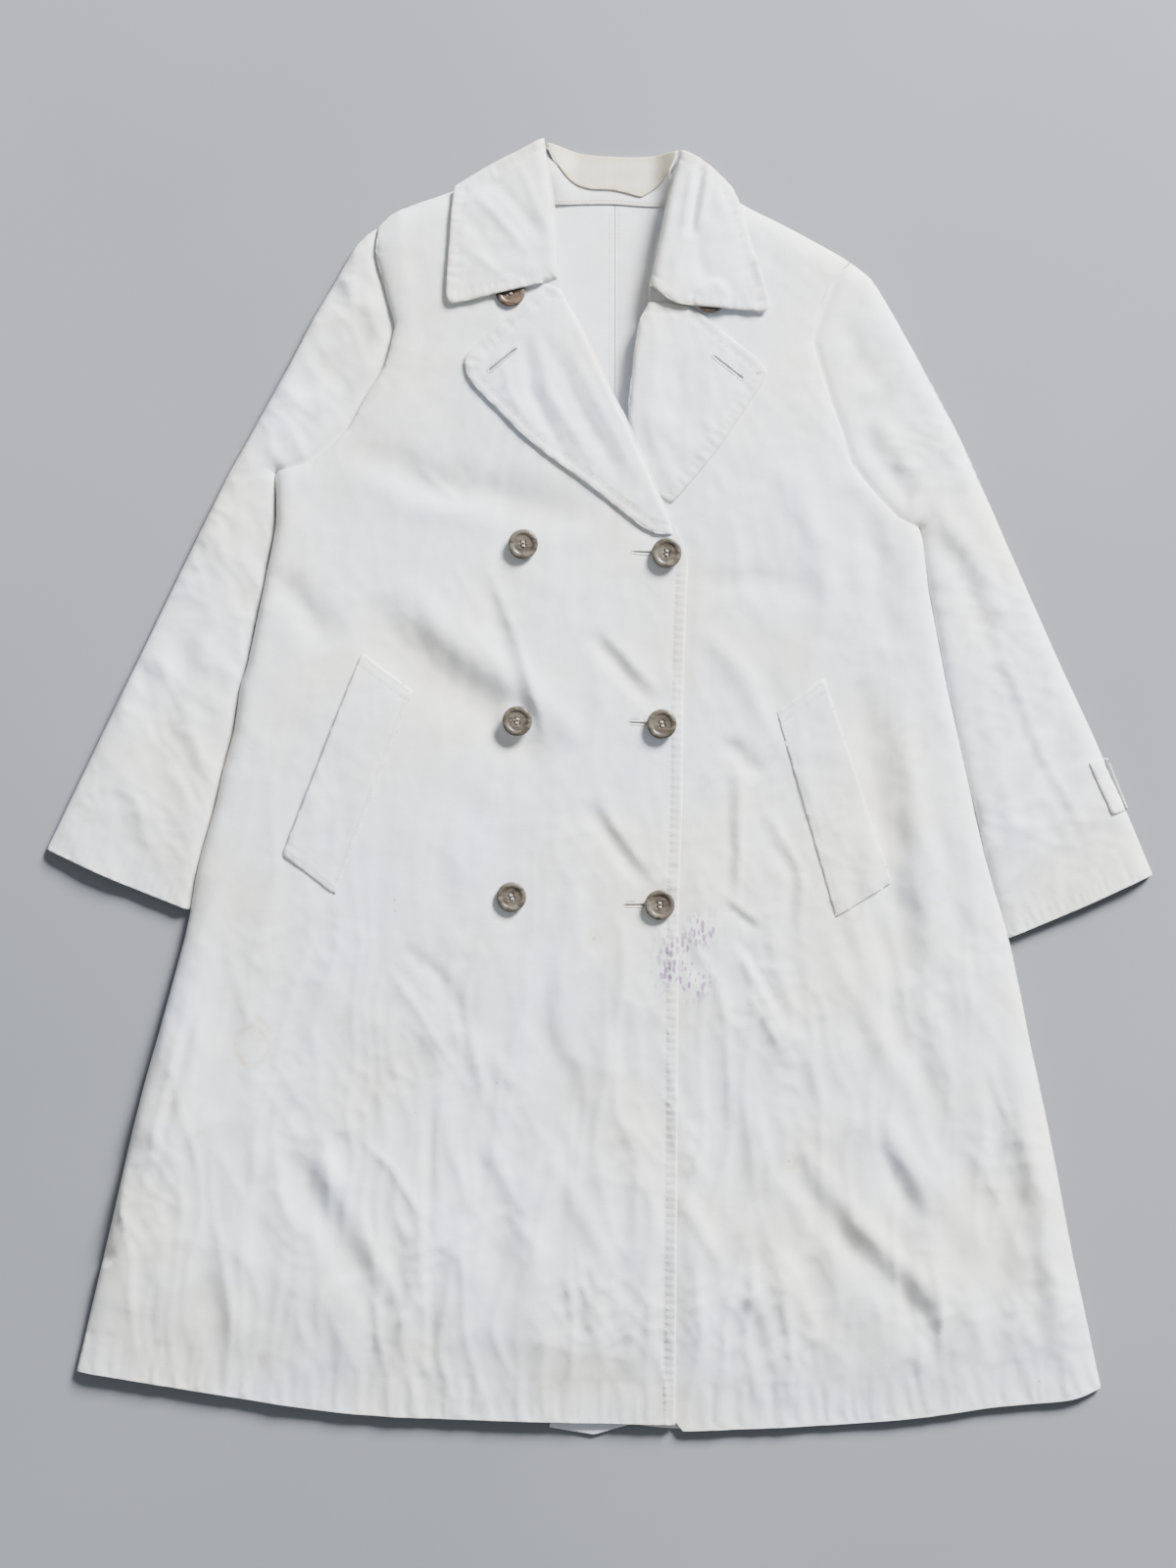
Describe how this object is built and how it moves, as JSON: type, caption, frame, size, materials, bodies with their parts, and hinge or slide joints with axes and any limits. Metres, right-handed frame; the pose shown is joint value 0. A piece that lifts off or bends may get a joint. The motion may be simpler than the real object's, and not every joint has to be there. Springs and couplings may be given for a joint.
{
  "type": "lab coat",
  "caption": "Off-white cotton double-breasted work coat, laid flat and buttoned, with notched lapels, slanted welt pockets and horn buttons.",
  "frame": {"origin": "middle of the coat's plan, on the surface that it lies on", "axes": "+Y from hem to collar, +X towards the wearer's left, +Z out of the front"},
  "size_m": [0.9072, 1.0616, 0.0234],
  "materials": {
    "cotton_shell": "matte washed cotton poplin",
    "cotton_inner": "matte cotton, inside face",
    "cotton_cream": "matte cotton, yellowed",
    "horn_buttons": "marbled imitation horn, semi-gloss",
    "dark_horn_buttons": "dark imitation horn, semi-gloss",
    "button_thread": "cotton thread"
  },
  "bodies": {
    "root": {"back_right_panel": "cotton_shell", "back_left_panel": "cotton_shell", "back_vent_underlap": "cotton_shell", "back_right_hem": "cotton_inner", "back_left_hem": "cotton_inner", "back_neck_facing": "cotton_cream", "collar_back_fall": "cotton_shell", "collar_stand": "cotton_cream", "right_front_panel": "cotton_shell", "right_front_facing": "cotton_inner", "right_front_hem": "cotton_inner", "left_front_panel": "cotton_shell", "left_front_facing": "cotton_inner", "left_front_hem": "cotton_inner", "right_side_seam": "cotton_shell", "left_side_seam": "cotton_shell", "right_shoulder_seam": "cotton_shell", "left_shoulder_seam": "cotton_shell", "right_sleeve_head": "cotton_shell", "left_sleeve_head": "cotton_shell", "right_pocket_welt": "cotton_shell", "left_pocket_welt": "cotton_shell", "right_pocket_bag": "cotton_inner", "left_pocket_bag": "cotton_inner", "right_button_shank_1": "button_thread", "left_button_shank_1": "button_thread", "right_button_shank_2": "button_thread", "left_button_shank_2": "button_thread", "right_button_shank_3": "button_thread", "left_button_shank_3": "button_thread"},
    "right_sleeve": {"right_under_sleeve": "cotton_shell", "right_top_sleeve": "cotton_shell"},
    "left_sleeve": {"left_under_sleeve": "cotton_shell", "left_top_sleeve": "cotton_shell", "left_cuff_tab": "cotton_shell"},
    "right_collar": {"right_under_collar": "cotton_shell", "right_upper_collar": "cotton_shell"},
    "left_collar": {"left_under_collar": "cotton_shell", "left_upper_collar": "cotton_shell"},
    "right_lapel": {"right_lapel_shell": "cotton_shell", "right_lapel_facing": "cotton_shell"},
    "left_lapel": {"left_lapel_shell": "cotton_shell", "left_lapel_facing": "cotton_shell"},
    "front_corner": {"right_front_corner": "cotton_shell", "right_corner_facing": "cotton_inner"},
    "right_button_1": {"right_button_1": "horn_buttons"},
    "right_button_2": {"right_button_2": "horn_buttons"},
    "right_button_3": {"right_button_3": "horn_buttons"},
    "right_collar_button": {"right_collar_button": "dark_horn_buttons"},
    "left_button_1": {"left_button_1": "horn_buttons"},
    "left_button_2": {"left_button_2": "horn_buttons"},
    "left_button_3": {"left_button_3": "horn_buttons"},
    "left_collar_button": {"left_collar_button": "dark_horn_buttons"}
  },
  "joints": [
    {"name": "right_sleeve_fold", "type": "hinge", "parent": "root", "child": "right_sleeve", "pos_m": [-0.2648, 0.2596, 0.0152], "axis": [0.0912, 0.9958, 0], "range_deg": [0, 165]},
    {"name": "left_sleeve_fold", "type": "hinge", "parent": "root", "child": "left_sleeve", "pos_m": [0.2468, 0.37608, 0.0152], "axis": [0.0896, -0.996, 0], "range_deg": [0, 165]},
    {"name": "right_collar_turn", "type": "hinge", "parent": "root", "child": "right_collar", "pos_m": [-0.032, 0.4148, 0.02245], "axis": [-0.1043, 0.9945, 0], "range_deg": [0, 90]},
    {"name": "left_collar_turn", "type": "hinge", "parent": "root", "child": "left_collar", "pos_m": [0.0648, 0.5204, 0.02245], "axis": [-0.2207, -0.9753, 0], "range_deg": [0, 90]},
    {"name": "right_lapel_turn", "type": "hinge", "parent": "root", "child": "right_lapel", "pos_m": [0.0656, 0.202, 0.018], "axis": [-0.4206, 0.9072, 0], "range_deg": [0, 90]},
    {"name": "left_lapel_turn", "type": "hinge", "parent": "root", "child": "left_lapel", "pos_m": [0.0392, 0.3956, 0.015], "axis": [0.1084, -0.9941, 0], "range_deg": [0, 85]},
    {"name": "front_corner_turn", "type": "hinge", "parent": "root", "child": "front_corner", "pos_m": [0.064, -0.1236, 0.0184], "axis": [-0.5135, -0.8581, 0], "range_deg": [0, 165]},
    {"name": "right_button_1_swivel", "type": "hinge", "parent": "root", "child": "right_button_1", "pos_m": [-0.0624, 0.1996, 0.0192], "axis": [0, 0, 1], "range_deg": [-30, 30]},
    {"name": "right_button_2_swivel", "type": "hinge", "parent": "root", "child": "right_button_2", "pos_m": [-0.0672, 0.0556, 0.0192], "axis": [0, 0, 1], "range_deg": [-30, 30]},
    {"name": "right_button_3_swivel", "type": "hinge", "parent": "root", "child": "right_button_3", "pos_m": [-0.072, -0.0876, 0.0192], "axis": [0, 0, 1], "range_deg": [-30, 30]},
    {"name": "left_button_1_swivel", "type": "hinge", "parent": "root", "child": "left_button_1", "pos_m": [0.0544, 0.1924, 0.0192], "axis": [0, 0, 1], "range_deg": [-30, 30]},
    {"name": "left_button_2_swivel", "type": "hinge", "parent": "root", "child": "left_button_2", "pos_m": [0.0504, 0.0532, 0.0192], "axis": [0, 0, 1], "range_deg": [-30, 30]},
    {"name": "left_button_3_swivel", "type": "hinge", "parent": "root", "child": "left_button_3", "pos_m": [0.0488, -0.094, 0.0192], "axis": [0, 0, 1], "range_deg": [-30, 30]},
    {"name": "right_collar_button_swivel", "type": "hinge", "parent": "root", "child": "right_collar_button", "pos_m": [-0.0728, 0.4052, 0.0179], "axis": [0, 0, 1], "range_deg": [-30, 30]},
    {"name": "left_collar_button_swivel", "type": "hinge", "parent": "root", "child": "left_collar_button", "pos_m": [0.0904, 0.4004, 0.0149], "axis": [0, 0, 1], "range_deg": [-30, 30]}
  ]
}
